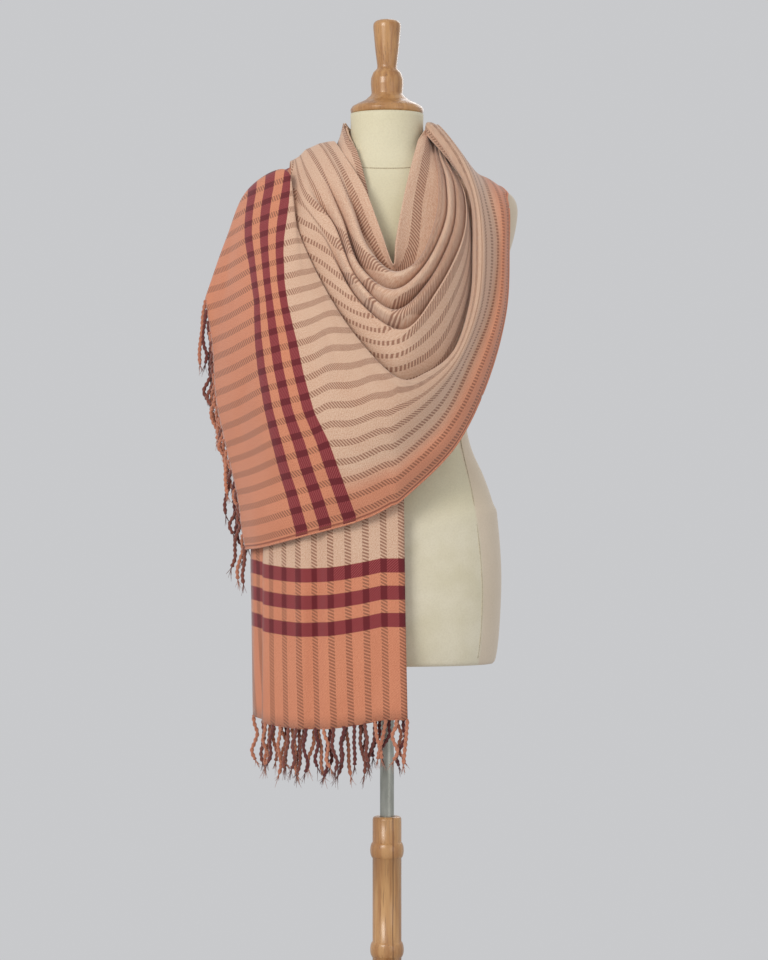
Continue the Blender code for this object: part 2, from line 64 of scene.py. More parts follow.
# Floor and studio light
# A round pale floor that ends just below the front view, pale grey surroundings, a large
# soft lamp at the front left, a weaker one at the right and a weak one high behind.
FLOOR_RADIUS = 1.9
SURROUNDINGS = (0.58, 0.585, 0.6, 1)
# Name, place, size, power and colour
LAMPS = (
    ("key lamp", (-1.8, -2.9, 2.5), 1.4, 60, (1.0, 0.98, 0.94)),
    ("fill lamp", (2.2, -3.0, 1.2), 2.0, 11, (1.0, 0.97, 0.93)),
    ("rim lamp", (0.9, 2.2, 2.3), 1.6, 14, (1.0, 1.0, 1.0)),
)


def built(name, points, faces, maps):
    """A smooth mesh in the scene. maps holds a pair of cloth lengths for each point, which
    become the piece's UV map, or is None."""
    mesh = bpy.data.meshes.new(name)
    mesh.from_pydata(points.tolist(), [], faces)
    mesh.shade_smooth()
    if maps is not None:
        corners = np.empty(len(mesh.loops), dtype=int)
        mesh.loops.foreach_get("vertex_index", corners)
        layer = mesh.uv_layers.new(name="weave")
        layer.data.foreach_set("uv", maps.reshape(-1, 2)[corners].ravel())
    piece = bpy.data.objects.new(name, mesh)
    bpy.context.scene.collection.objects.link(piece)
    return piece


def surface(name, grid, closed=False, capped=False, maps=None):
    """A mesh through a grid of points: each cell of four neighbours is a face. A closed grid
    joins its last column to its first, and a capped one fans its end rows to their middles."""
    rows, columns = grid.shape[:2]
    number = np.arange(rows * columns).reshape(rows, columns)
    if closed:
        number = np.concatenate([number, number[:, :1]], axis=1)
    faces = np.stack([number[:-1, :-1], number[:-1, 1:], number[1:, 1:], number[1:, :-1]],
                     axis=-1).reshape(-1, 4).tolist()
    points = grid.reshape(-1, 3)
    if capped:
        low, high = len(points), len(points) + 1
        points = np.concatenate([points, grid[:1].mean(axis=1), grid[-1:].mean(axis=1)])
        first, last = number[0], number[-1]
        faces += [(low, int(b), int(a)) for a, b in zip(first[:-1], first[1:])]
        faces += [(high, int(a), int(b)) for a, b in zip(last[:-1], last[1:])]
    return built(name, points, faces, maps)


turn = np.linspace(0, 2 * math.pi, 97)[:-1]
rings = np.array([FLOOR_RADIUS, FLOOR_RADIUS / 2, 0.02])[:, None]
floor = surface("floor", np.stack([rings * np.cos(turn), -rings * np.sin(turn),
                                   rings * 0 - 0.0005 + turn * 0], axis=-1), closed=True)
floor_finish = bpy.data.materials.new("pale floor")
floor_finish.use_nodes = True
floor_shader = floor_finish.node_tree.nodes["Principled BSDF"]
floor_shader.inputs["Base Color"].default_value = (0.5, 0.5, 0.51, 1)
floor_shader.inputs["Roughness"].default_value = 0.8
floor.data.materials.append(floor_finish)

world = bpy.data.worlds.new("surroundings")
world.use_nodes = True
world.node_tree.nodes["Background"].inputs["Color"].default_value = SURROUNDINGS
bpy.context.scene.world = world
for name, place_of, size, power, colour in LAMPS:
    lamp = bpy.data.lights.new(name, "AREA")
    lamp.size = size
    lamp.energy = power
    lamp.color = colour
    holder = bpy.data.objects.new(name, lamp)
    holder.location = place_of
    aim = np.array([0, 0, 1.15]) - place_of
    holder.rotation_euler = (math.atan2(math.hypot(aim[0], aim[1]), -aim[2]), 0,
                             math.atan2(aim[1], aim[0]) - math.pi / 2)
    bpy.context.scene.collection.objects.link(holder)


# Base and post
# A round stepped base and a post with bead rings, like a length of cane: both turned from
# one honey-coloured wood, stained and varnished. The post stands on the base's middle.
MM = 0.001
# Radius and height
BASE_PROFILE = ((44, 24), (50, 22.5), (53, 20), (176, 18), (185, 16), (190, 11), (190, 4),
                (187, 0.2), (186, 0))
POST_RADIUS = 20.2
POST_TOP = 541
POST_FOOT = 24.4
POST_BORE = 10.5
RING_HEIGHTS = (494, 355, 217, 78)
RING_SWELL = 3.4
RING_HALF = 11
DARK_LINE_ACROSS = 0.0105


def dye(red, green, blue):
    """A colour as it looks on a screen, from 0 to 255, as the shader's linear light."""
    parts = np.array([red, green, blue]) / 255
    parts = np.where(parts > 0.04045, ((parts + 0.055) / 1.055) ** 2.4, parts / 12.92)
    return (*parts.tolist(), 1)


class Shade:
    """One socket of a material's nodes. Sums and products of sockets and numbers add Math
    nodes, colours are mixed with blend(), and node() adds any other node."""

    def __init__(self, tree, link=None):
        self.tree = tree
        self.link = link

    def node(self, kind, settings, sockets, outlet=0):
        made = self.tree.nodes.new("ShaderNode" + kind)
        for name, value in settings.items():
            setattr(made, name, value)
        for name, value in sockets.items():
            if isinstance(value, Shade):
                self.tree.links.new(value.link, made.inputs[name])
            else:
                made.inputs[name].default_value = value
        return Shade(self.tree, made.outputs[outlet])

    def math(self, operation, *others):
        return self.node("Math", {"operation": operation}, dict(enumerate((self, *others))))

    def __add__(self, other):
        return self.math("ADD", other)

    def __mul__(self, other):
        return self.math("MULTIPLY", other)

    def __sub__(self, other):
        return self.math("SUBTRACT", other)

    def __rsub__(self, other):
        return self.node("Math", {"operation": "SUBTRACT"}, {0: other, 1: self})

    __radd__ = __add__
    __rmul__ = __mul__

    def rise(self, low, high):
        """0 below low, 1 above high, smooth between; it falls where low is the greater."""
        return self.node("MapRange", {"interpolation_type": "SMOOTHSTEP"},
                         {"Value": self, "From Min": low, "From Max": high})

    def blend(self, first, second):
        """The first colour where this is 0 and the second where it is 1."""
        return self.node("Mix", {"data_type": "RGBA"}, {0: self, 6: first, 7: second}, 2)

    def axis(self, number):
        return self.node("SeparateXYZ", {}, {0: self}, number)

    def stretched(self, *scale):
        return self.node("VectorMath", {"operation": "MULTIPLY"}, {0: self, 1: scale})

    def noise(self, scale, detail=2.0, roughness=0.5):
        return self.node("TexNoise", {}, {"Vector": self, "Scale": scale, "Detail": detail,
                                          "Roughness": roughness})

    def feed(self, shader, socket):
        self.tree.links.new(self.link, shader.inputs[socket])

    def bump(self, shader, depth):
        """Raised by this height, times a depth in metres."""
        self.node("Bump", {}, {"Height": self, "Distance": depth}).feed(shader, "Normal")


def finish(name, **constants):
    """A new material with one shader; the constants are set on the shader's own sockets."""
    material = bpy.data.materials.new(name)
    material.use_nodes = True
    shader = material.node_tree.nodes["Principled BSDF"]
    for socket, value in constants.items():
        shader.inputs[socket.replace("_", " ").title()].default_value = value
    return material, shader, Shade(material.node_tree)


def turned(name, profile, material, body, node, sides=96):
    """A profile of radii and heights carried once round the axis, closed at both ends."""
    radius, up = np.array(profile, dtype=float).T[:, :, None] * MM
    around = np.linspace(0, 2 * math.pi, sides + 1)[:-1]
    grid = np.stack([radius * np.cos(around), -radius * np.sin(around), up + 0 * around], axis=-1)
    piece = surface(name, grid, closed=True, capped=True)
    piece.data.materials.append(material)
    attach(piece, body)
    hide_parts(node)


def rounded(profile, steps=3):
    """A profile with each corner cut by points on a curve between its sides' middles."""
    corners = np.array(profile, dtype=float)
    middles = (corners[1:] + corners[:-1]) / 2
    made = [corners[0]]
    for before, corner, after in zip(middles[:-1], corners[1:-1], middles[1:]):
        for share in np.linspace(0.25, 0.75, steps):
            start = before + (corner - before) * 0.6
            end = after + (corner - after) * 0.6
            made.append((1 - share) ** 2 * start + 2 * share * (1 - share) * corner
                        + share ** 2 * end)
    return made + [corners[-1]]


def wood(name, light, middle, dark, ripple):
    """Upright grain: noise drawn out along the height, darker pores and, by the ripple's
    share, one dark wavy line down the front, under a satin varnish."""
    material, shader, shade = finish(name, roughness=0.36, coat_weight=0.35,
                                     coat_roughness=0.18)
    spot = shade.node("TexCoord", {}, {}, 3)
    grain = spot.stretched(95, 95, 5).noise(1.0, 5.0, 0.62)
    pores = spot.stretched(620, 620, 22).noise(1.0, 3.0, 0.6).rise(0.56, 0.72)
    cloud = spot.stretched(22, 22, 7).noise(1.0, 2.0)
    bend = spot.stretched(0, 0, 9).noise(1.0) * 0.004
    near = (spot.axis(0) - DARK_LINE_ACROSS + bend).math("ABSOLUTE")
    front = spot.axis(1).rise(0.0, -0.004)
    seam = near.rise(0.0014, 0.0003) * front * ripple
    colour = grain.rise(0.36, 0.66).blend(light, middle)
    colour = (cloud.rise(0.45, 0.7) * 0.5).blend(colour, middle)
    colour = (pores * 0.55).blend(colour, dark)
    colour = (seam * 0.75).blend(colour, dark)
    colour.feed(shader, "Base Color")
    (grain * 0.12 + 0.28).feed(shader, "Roughness")
    (grain - pores * 0.5).bump(shader, 0.0003)
    return material


HONEY_WOOD = wood("varnished honey wood", dye(208, 160, 106), dye(174, 122, 74),
                  dye(108, 66, 36), 1.0)
post_profile = [(POST_BORE - 2, POST_TOP - 60), (POST_BORE, POST_TOP - 60),
                (POST_BORE, POST_TOP - 1), (POST_BORE + 1, POST_TOP),
                (POST_RADIUS - 3, POST_TOP), (POST_RADIUS - 0.8, POST_TOP - 1.2),
                (POST_RADIUS, POST_TOP - 4)]
for middle in RING_HEIGHTS:
    swing = np.radians(np.linspace(88, -88, 15))
    post_profile += list(zip(POST_RADIUS + RING_SWELL * np.cos(swing) ** 1.3,
                             middle + RING_HALF * np.sin(swing)))
post_profile += [(POST_RADIUS, POST_FOOT + 1), (POST_RADIUS - 1, POST_FOOT)]
turned("turned_base", rounded(BASE_PROFILE), HONEY_WOOD, "stand", "stand_base")
turned("turned_post", post_profile, HONEY_WOOD, "stand", "stand_post")


# Pole
# A drawn metal tube, brushed along its length, with a greenish-grey cast. It slides in the
# post's bore and ends in the form's socket.
POLE_PROFILE = ((8.8, 815.6), (9.5, 815.3), (9.8, 814.6), (9.8, 640), (9.8, 440), (9.8, 242),
                (8.8, 241))


def brushed_metal():
    """Fine lengthwise scratches, some of them dark, and dull patches."""
    material, shader, shade = finish("brushed pole metal", metallic=0.85, roughness=0.34)
    spot = shade.node("TexCoord", {}, {}, 3)
    scratch = spot.stretched(1500, 1500, 12).noise(1.0, 3.0, 0.7)
    patch = spot.stretched(60, 60, 18).noise(1.0, 3.0)
    colour = patch.rise(0.35, 0.7).blend(dye(176, 177, 168), dye(136, 139, 130))
    (scratch.rise(0.6, 0.8) * 0.4).blend(colour, dye(110, 112, 106)).feed(shader, "Base Color")
    (patch * 0.3 + scratch * 0.12 + 0.14).feed(shader, "Roughness")
    scratch.bump(shader, 0.00005)
    return material


turned("metal_pole", POLE_PROFILE, brushed_metal(), "pole", "stand_pole")


# Dress form
# A limbless torso of padded papier mache in a close cream jersey cover, sewn with a seam
# down each side of the front and one round the neck. It stands on the pole.
# Height, half width, front, back, and squareness: 2 is an ellipse
FORM = (
    (756, 148, 95, 103, 2.2),
    (763, 152, 99, 108, 2.2),
    (790, 156, 104, 114, 2.2),
    (835, 159, 107, 119, 2.2),
    (880, 160, 107, 120, 2.2),
    (922, 158, 104, 116, 2.2),
    (957, 154, 100, 109, 2.2),
    (990, 145, 95, 98, 2.2),
    (1020, 134, 90, 90, 2.2),
    (1048, 121, 85, 83, 2.2),
    (1075, 113, 81, 79, 2.2),
    (1105, 110, 80, 77, 2.2),
    (1145, 114, 85, 80, 2.2),
    (1190, 124, 96, 87, 2.2),
    (1235, 136, 108, 94, 2.2),
    (1275, 149, 112, 99, 2.2),
    (1310, 164, 108, 102, 2.2),
    (1345, 176, 98, 103, 2.2),
    (1375, 182, 87, 99, 2.2),
    (1395, 182, 79, 93, 2.2),
    (1410, 174, 72, 87, 2.2),
    (1421, 155, 67, 80, 2.2),
    (1433, 130, 63, 73, 2.2),
    (1445, 102, 59, 67, 2.1),
    (1456, 80, 56, 60, 2.1),
    (1467, 64, 53, 55, 2.0),
    (1480, 54, 51.5, 52, 2.0),
    (1500, 51, 51, 51, 2.0),
    (1523.8, 51, 51, 51, 2.0),
)
SOCKET_RADIUS = 10.3
SOCKET_TOP = 816
# Across and up
HIP_CREASE = ((-160, 965), (20, 938), (70, 955), (110, 968), (160, 972))
SIDE_SEAM = ((99, 1120), (102, 1070), (106, 1046), (118, 990), (126, 930), (130, 885),
             (131, 847), (129, 800), (125, 766))
SEAM_RADIUS = 0.8
UNDERSIDE_SHARE = 0.9
NECK_SEAM_UP = 1459
NECK_SEAM_DIP = 17
CREASE_SWELL = 1.6 / 110
CREASE_BELOW = 14
CREASE_ABOVE = 14 / 3.2
# The jersey is painted pinker and darker past its widest line, as shade on the form's sides:
# half width and height there, in metres, how fast it narrows away from that height, and its
# least half width
WIDEST, WIDEST_UP, NARROWING, NARROWEST = 0.131, 0.85, 0.75, 0.098


def through(points, steps):
    """A smooth path through points along their first axis, with steps in each span: each
    span's cubic leaves and arrives along the line between its neighbours."""
    points = np.asarray(points, dtype=float)
    knots = np.concatenate([(2 * points[0] - points[1])[None], points,
                            (2 * points[-1] - points[-2])[None]])
    t = (np.arange(steps) / steps).reshape(-1, *[1] * (points.ndim - 1))
    found = [b + 0.5 * t * (c - a + t * (2 * a - 5 * b + 4 * c - d + t * (3 * (b - c) + d - a)))
             for a, b, c, d in zip(knots, knots[1:], knots[2:], knots[3:])]
    return np.concatenate(found + [points[-1:]])


def place(sheet):
    """Across, up and out in millimetres, turned into X, Y and Z in metres."""
    return np.stack([sheet[..., 0], -sheet[..., 2], sheet[..., 1]], axis=-1) * MM


def form_section(up):
    """The form's half width, front, back and squareness at a height."""
    table = np.array(FORM)
    return [np.interp(up, table[:, 0], table[:, column]) for column in range(1, 5)]


def tube(name, path, radius, sides=8):
    """A round profile carried along a path in metres, square to its direction."""
    ahead = np.gradient(path, axis=0)
    ahead /= np.linalg.norm(ahead, axis=1, keepdims=True)
    lead = np.where(np.abs(ahead[:, 2:]) > 0.9, [[0.0, 1.0, 0.0]], [[0.0, 0.0, 1.0]])
    side = np.cross(ahead, lead)
    side /= np.linalg.norm(side, axis=1, keepdims=True)
    rise = np.cross(ahead, side)
    around = np.linspace(0, 2 * math.pi, sides + 1)[:-1]
    grid = path[:, None] + radius * (side[:, None] * np.cos(around)[:, None]
                                     + rise[:, None] * np.sin(around)[:, None])
    return surface(name, grid, closed=True, capped=True)


def thread(name, scale, crispness, first, second, depth, **constants):
    """Fine fibres: noise between two colours, raised where it is high."""
    material, shader, shade = finish(name, roughness=0.9, **constants)
    grain = shade.node("TexCoord", {}, {}, 3).noise(scale, 2.0, crispness)
    grain.rise(0.35, 0.65).blend(first, second).feed(shader, "Base Color")
    grain.bump(shader, depth)
    return material


def jersey():
    """Fine knit and faint mottling, with painted shade: darker and yellower above the hip crease,
    pinker and darker past the side seams.
    """
    material, shader, shade = finish("cream jersey", roughness=0.85, sheen_weight=0.25,
                                     sheen_roughness=0.5)
    spot = shade.node("TexCoord", {}, {}, 3)
    across, up = spot.axis(0), spot.axis(2)
    cloud = spot.noise(9.0, 3.0, 0.6)
    fine = spot.noise(420.0, 2.0)
    seam = WIDEST - (up - WIDEST_UP).math("POWER", 2.0) * NARROWING
    # Painted shade: past the side seams the jersey is tinted pinker and darker, as on the form's
    # shaded sides.
    side = (across.math("ABSOLUTE") - seam.math("MAXIMUM", NARROWEST)).rise(-0.001, 0.004)
    colour = cloud.rise(0.3, 0.7).blend(dye(229, 221, 198), dye(214, 205, 176))
    # Painted shade: above the hip crease the jersey is tinted darker and yellower.
    high = up.rise(0.93, 0.99) * 0.6
    colour = high.blend(colour, dye(220, 211, 176))
    # Painted shade, pinker, on the form's sides past the seams.
    colour = (side * 0.75).blend(colour, dye(220, 200, 178))
    (fine.rise(0.35, 0.75) * 0.18).blend(colour, dye(190, 178, 150)).feed(shader, "Base Color")
    (fine * 0.4 + cloud * 1.6).bump(shader, 0.0008)
    return material


CREAM_JERSEY = jersey()
rows = through(FORM, 5)
around = np.linspace(0, 2 * math.pi, 129)[:-1]
circle = np.stack([np.cos(around), np.sin(around)])
up, width, front, back, power = rows.T[:, :, None]
reach = np.abs(circle[:, None]) ** (2 / power) * np.sign(circle[:, None])
deep = np.where(reach[1] > 0, front, back)
crease_up = np.interp(reach[0] * width, *np.array(HIP_CREASE, dtype=float).T)
below = crease_up - up
crease = np.exp(-(below / np.where(below > 0, CREASE_BELOW, CREASE_ABOVE)) ** 2)
swell = 1 + CREASE_SWELL * crease * (reach[1] > 0)
body_rings = np.stack([reach[0] * width * swell, reach[1] * deep * swell,
                       up + 0 * reach[0]], axis=-1)
mouth = [np.stack([circle[0] * radius, circle[1] * radius, height + 0 * circle[0]], axis=-1)
         for radius, height in ((SOCKET_RADIUS - 3, SOCKET_TOP), (SOCKET_RADIUS, SOCKET_TOP),
                                (SOCKET_RADIUS, 757), (SOCKET_RADIUS + 1.5, 756))]
underside = body_rings[:1] * (UNDERSIDE_SHARE, UNDERSIDE_SHARE, 1)
shell = np.concatenate([np.array(mouth), underside, body_rings])
shell = np.stack([shell[..., 0], -shell[..., 1], shell[..., 2]], axis=-1) * MM
form = surface("jersey_form", shell[:, ::-1], closed=True, capped=True)
form.data.materials.append(CREAM_JERSEY)
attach(form, "figure")
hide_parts("form_torso")

JERSEY_SEAM = thread("jersey seam", 700.0, 0.5, dye(176, 160, 134), dye(206, 194, 164), 0.0004)
seams = {}
for name, hand, face in (("front_seam_right", 1, 1), ("front_seam_left", -1, 1),
                         ("back_seam_right", 1, -1), ("back_seam_left", -1, -1)):
    across, up = through(SIDE_SEAM, 8).T
    width, front, back, power = form_section(up)
    out = (1 - (across / width) ** power) ** (1 / power)
    out *= front - 0.2 if face > 0 else 0.2 - back
    seams[name] = place(np.stack([hand * across, up, out], axis=-1))
spin = np.linspace(0, 2 * math.pi, 121)
up = NECK_SEAM_UP - NECK_SEAM_DIP * np.clip(np.cos(spin), 0, None) ** 2
width, front, back, power = form_section(up)
across = np.abs(np.sin(spin)) ** (2 / power) * np.sign(np.sin(spin)) * width
out = np.abs(np.cos(spin)) ** (2 / power) * np.where(np.cos(spin) > 0, front, -back)
seams["neck_seam"] = place(np.stack([across, up, out], axis=-1))
for name, path in seams.items():
    seam = tube(name, path, SEAM_RADIUS * MM)
    seam.data.materials.append(JERSEY_SEAM)
    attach(seam, "figure")


# Neck block
# A turned cap of honey wood over the neck's open top: a flared skirt, a ball and a tall
# tapering handle, lightly oiled. It is pinned to the form.
BLOCK_PROFILE = ((48.5, 1524.2), (50.6, 1526), (51.3, 1530), (48.5, 1534.5), (41, 1538.5),
                 (31, 1543), (23.5, 1549.5), (21.6, 1552.5), (22.8, 1566), (22.4, 1574),
                 (19.5, 1582), (14, 1587.5), (13.6, 1591), (16.6, 1615), (19.4, 1646),
                 (19, 1650.5), (16, 1654), (10, 1656), (4, 1656.5))
CAP_WOOD = wood("turned cap wood", dye(194, 146, 94), dye(160, 110, 64),
                dye(104, 64, 36), 0.0)
turned("neck_cap", rounded(BLOCK_PROFILE)[::-1], CAP_WOOD, "figure", "neck_block")


# Hanging end
# The stole's first end: one hand-woven length of wool twill, folded in three lengthwise
# and hung straight down, held by the stretch that is wound over it.
WALL = 1.2
# Inner edge's across, up and out, the outer edge's, the gap between layers, and the sink
END_SECTIONS = (
    (28, 686, 110, -187, 687, 10, 9.0, 0.0),
    (25, 835, 114, -189, 835, 10, 6.0, 0.0),
    (24, 908, 114, -190, 910, 8, 5.0, 0.0),
    (23, 985, 113, -184, 990, 12, 4.4, 0.0),
    (21, 1060, 112, -170, 1068, 26, 4.2, 0.0),
    (20, 1121, 112, -156, 1135, 38, 4.0, 0.0),
    (15, 1216, 112, -136, 1232, 56, 3.8, 0.0),
    (3, 1303, 112, -124, 1320, 66, 3.4, 0.0),
    (-10, 1347, 100, -112, 1364, 60, 3.2, 0.0),
    (-25, 1400, 80, -100, 1410, 50, 3.0, 0.1),
    (-37, 1455, 55, -92, 1440, 36, 2.8, 0.4),
    (-47, 1484, 30, -86, 1455, 16, 2.8, 0.7),
    (-56, 1510, 2, -84, 1458, -6, 2.8, 1.0),
)
END_FORM_GAP = 4
END_SINK = 5
# Folded in three: share of the width (0 inner edge, 1 outer edge) and layer (2 is outermost)
END_ZIGZAG = (
    (0.00, 2.0), (0.12, 2.0), (0.25, 2.0), (0.38, 2.0), (0.50, 2.0), (0.58, 1.8), (0.66, 2.1),
    (0.76, 2.0), (0.855, 2.0), (0.885, 1.5),
    (0.855, 1.0), (0.60, 1.0), (0.32, 1.0), (0.06, 1.0), (0.03, 0.5),
    (0.06, 0.0), (0.30, 0.0), (0.55, 0.0), (0.78, 0.0), (0.90, 0.0), (1.00, 0.0),
)
END_STEPS = (8, 4)
HEM_SAG = 15
# Creases in the outermost layer: across and up of each end, half width, and depth, which
# is negative for a ridge
END_CREASES = (
    (-120, 560, -112, 1080, 8, -7.0), (-99, 560, -91, 1080, 7, 6.0),
    (-81, 580, -75, 1060, 7, -5.0), (-46, 600, -46, 940, 11, 4.5),
    (-10, 600, -14, 940, 14, 3.0),
)
END_OUTER_LAYER = 33
CLOTH_WIDTH = 580
STRIPE_PITCH = 24.5
STRIPE_HALF = 4.4
DASH_PITCH = 4.6
TWILL_PITCH = 3.6
# Where each maroon band starts and ends, from the fringe
BANDS = ((127, 146), (164, 183), (201, 220))
ECRU_PALE = dye(224, 192, 166)
ECRU_ROSE = dye(196, 146, 118)
TERRACOTTA = dye(220, 146, 112)
TERRACOTTA_DEEP = dye(186, 106, 74)
BROWN = dye(134, 84, 62)
MAROON = dye(124, 34, 40)
MAROON_DARK = dye(100, 18, 28)
MAROON_LIGHT = dye(178, 92, 92)
HEM_LINE = dye(128, 66, 48)


def clear_form(sheet, gap):
    """Move each point that is inside the form, grown by the gap, straight out of it."""
    across, up, out = sheet[..., 0], sheet[..., 1], sheet[..., 2]
    width, front, back, power = form_section(up)
    depth = np.where(out > 0, front, back) + gap
    reach = (np.abs(across / (width + gap)) ** power + np.abs(out / depth) ** power) ** (1 / power)
    grow = np.where((reach < 1) & (up < FORM[-1][0]), 1 / np.maximum(reach, 0.3), 1.0)
    return np.stack([across * grow, up, out * grow], axis=-1)


def run(sheet, axis):
    """How far along the cloth each point is, from the start of that axis."""
    steps = np.linalg.norm(np.diff(sheet, axis=axis), axis=2)
    start = np.zeros_like(np.take(steps, [0], axis=axis))
    return np.concatenate([start, np.cumsum(steps, axis=axis)], axis=axis)


def stripe_weave():
    """Slanted brown dashes in lengthwise stripes, three maroon bands across each end, soft
    terracotta near the ends and the lower edge, ecru with rose flecks between."""
    material, shader, shade = finish("striped twill", roughness=0.92, sheen_weight=0.35,
                                     sheen_roughness=0.45)
    chart = shade.node("UVMap", {"uv_map": "weave"}, {})
    length, width = chart.axis(0) * 1000, chart.axis(1) * 1000
    wobble = chart.noise(90.0, 2.0) * 1.6
    edge = width + wobble - 0.8
    phase = (edge * (1 / STRIPE_PITCH)).math("FRACT")
    off_line = (phase - 0.5).math("ABSOLUTE") * STRIPE_PITCH
    stripe = off_line.rise(STRIPE_HALF + 0.5, STRIPE_HALF - 0.4)
    slant = (length + width * 0.55) * (2 * math.pi / DASH_PITCH)
    dash = (slant.math("SINE") * 0.5 + 0.5).rise(0.2, 0.7)
    counter = (length - width * 0.9) * (2 * math.pi / TWILL_PITCH)
    twill = counter.math("SINE") * 0.5 + 0.5
    fleck = chart.noise(560.0, 2.0, 0.7).rise(0.38, 0.66)
    cloud = chart.noise(16.0, 2.0).rise(0.35, 0.7)
    band = sum((length + wobble * 0.4).rise(low - 0.7, low + 0.5)
               * (length + wobble * 0.4).rise(high + 0.7, high - 0.5) for low, high in BANDS)
    warm = length.rise(221, 218.5).math("MAXIMUM", width.rise(80, 30) * 0.9)
    ecru = (fleck * 0.62 + twill * 0.14 + cloud * 0.12).blend(ECRU_PALE, ECRU_ROSE)
    clay = (fleck * 0.42 + twill * 0.2 + cloud * 0.1).blend(TERRACOTTA, TERRACOTTA_DEEP)
    ground = warm.blend(ecru, clay)
    marked = (stripe * (dash * 0.72 + 0.06)).blend(ground, BROWN)
    crossing = (twill.rise(0.5, 0.95) * 0.5 + fleck * 0.12).blend(MAROON, MAROON_LIGHT)
    crossing = (stripe * 0.9).blend(crossing, MAROON_DARK)
    marked = band.blend(marked, crossing)
    hem = width.rise(2.4, 3.2) * width.rise(5.6, 4.6) * 0.75
    hem.blend(marked, HEM_LINE).feed(shader, "Base Color")
    (twill * 0.5 + fleck * 0.7 - stripe * dash * 0.2).bump(shader, 0.0002)
    return material


def cloth(name, sheet, maps, node):
    """A woven wall through a net of points: an open sheet, thickened evenly both ways."""
    piece = surface(name, place(sheet), maps=maps * MM)
    wall = piece.modifiers.new("wall", "SOLIDIFY")
    wall.thickness = WALL * MM
    wall.offset = 0
    piece.data.materials.append(STRIPED_TWILL)
    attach(piece, "figure")
    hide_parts(node)
    return piece


def end_sheet(along, across):
    """A base strip runs from the hem to the neck, clear of the form; near the neck it sinks
    into the corner over the shoulder. Three layers lie over it, squarely parted."""
    sections = through(END_SECTIONS, along)[:, None]
    inner, outer, gap, sink = np.split(sections, (3, 6, 7), axis=2)
    shares = np.linspace(0, 1, 81)
    base = inner + (outer - inner) * np.stack([shares, shares, shares ** 3], axis=1)
    sink = END_SINK * sink[..., 0] * np.sin(math.pi * shares)
    base[..., 0] += sink
    base[..., 1] -= sink
    base = clear_form(base, END_FORM_GAP)
    square = np.cross(np.gradient(base, axis=0), np.gradient(base, axis=1))
    square *= gap / np.linalg.norm(square, axis=2, keepdims=True)
    columns = []
    zigzag = through(END_ZIGZAG, across)
    zigzag[:, 0] = np.clip(zigzag[:, 0], 0, 1)
    for share, layer in zigzag:
        spot = share * (len(shares) - 1)
        low = min(int(spot), len(shares) - 2)
        over = base + square * layer
        columns.append(over[:, low] * (1 - spot + low) + over[:, low + 1] * (spot - low))
    sheet = np.stack(columns, axis=1)
    sag = HEM_SAG * np.clip(np.sin((zigzag[:, 0] - 0.15) * math.pi / 0.95), 0, None)
    sheet[..., 1] -= sag[None] * np.clip((900 - sheet[:, :1, 1]) / 200, 0, 1) ** 2
    return sheet


def creased(sheet, creases):
    """Press soft valleys and ridges into a sheet: each is a line between two places, with a
    bell-shaped cross-section that dies away at its ends."""
    sheet = sheet.copy()
    for across, up, far_across, far_up, half, depth in creases:
        along = np.array([far_across - across, far_up - up], dtype=float)
        rest = sheet[..., :2] - (across, up)
        share = rest @ along / (along @ along)
        off = np.abs(rest[..., 0] * along[1] - rest[..., 1] * along[0]) / np.linalg.norm(along)
        fade = np.clip(1 - np.abs(share - 0.5) * 1.3, 0, 1) ** 1.5
        sheet[..., 2] -= depth * np.exp(-(off / half) ** 2) * fade
    return sheet


STRIPED_TWILL = stripe_weave()
hanging = end_sheet(*END_STEPS)
hanging_maps = np.stack([run(hanging, 0), CLOTH_WIDTH - run(hanging, 1)], axis=-1)
hanging[:, :END_OUTER_LAYER] = creased(hanging[:, :END_OUTER_LAYER], END_CREASES)
hanging_end = cloth("hanging_end", hanging, hanging_maps, "stole_hanging_end")


# Back stretch
# The same length of twill carried round behind the neck and over the upper back to the
# other shoulder, in soft lengthwise pleats. It lies on the form by its own weight.
BACK_ACROSS = {
    "collar": (56, 60, 46, 0, -45, -58.5),
    "upper": (68, 74, 66, 4, -54, -62.5),
    "middle": (84, 94, 88, 8, -64, -67),
    "lower": (106, 110, 106, 10, -74, -77),
    "selvedge": (132, 128, 122, 10, -78, -87),
}
BACK_UP = {
    "collar": (1500, 1500, 1500, 1498, 1504, 1511.5),
    "upper": (1484, 1484, 1476, 1462, 1484, 1497),
    "middle": (1464, 1462, 1442, 1418, 1456, 1481),
    "lower": (1446, 1447, 1408, 1366, 1424, 1469),
    "selvedge": (1425, 1428, 1366, 1306, 1386, 1459.5),
}
BACK_OUT = {
    "collar": (0, -24, -40, -53, -36, 1.4),
    "upper": (4, -28, -50, -64, -46, 1.2),
    "middle": (4, -36, -64, -86, -58, 0.4),
    "lower": (-18, -44, -76, -103, -72, -2.8),
    "selvedge": (-48, -52, -90, -106, -88, -6.9),
}
BACK_STEPS = (12, 12)
BACK_PLEATS = 5
BACK_PLEAT_DEPTH = 4
BACK_GAP = (3, 6)
BACK_START_LENGTH = 600
BACK_START_WIDTH = 560
BACK_GATHER = 1.6


def net(rows, across, along):
    """A smooth sheet through rows of points, with steps across and along each span."""
    return through(through(rows, across).transpose(1, 0, 2), along).transpose(1, 0, 2)


def lines(across, up, out):
    """The rows of three tables with the same names, as points: across, up and out."""
    return np.array([np.stack([across[name], up[name], out[name]], axis=1) for name in across])


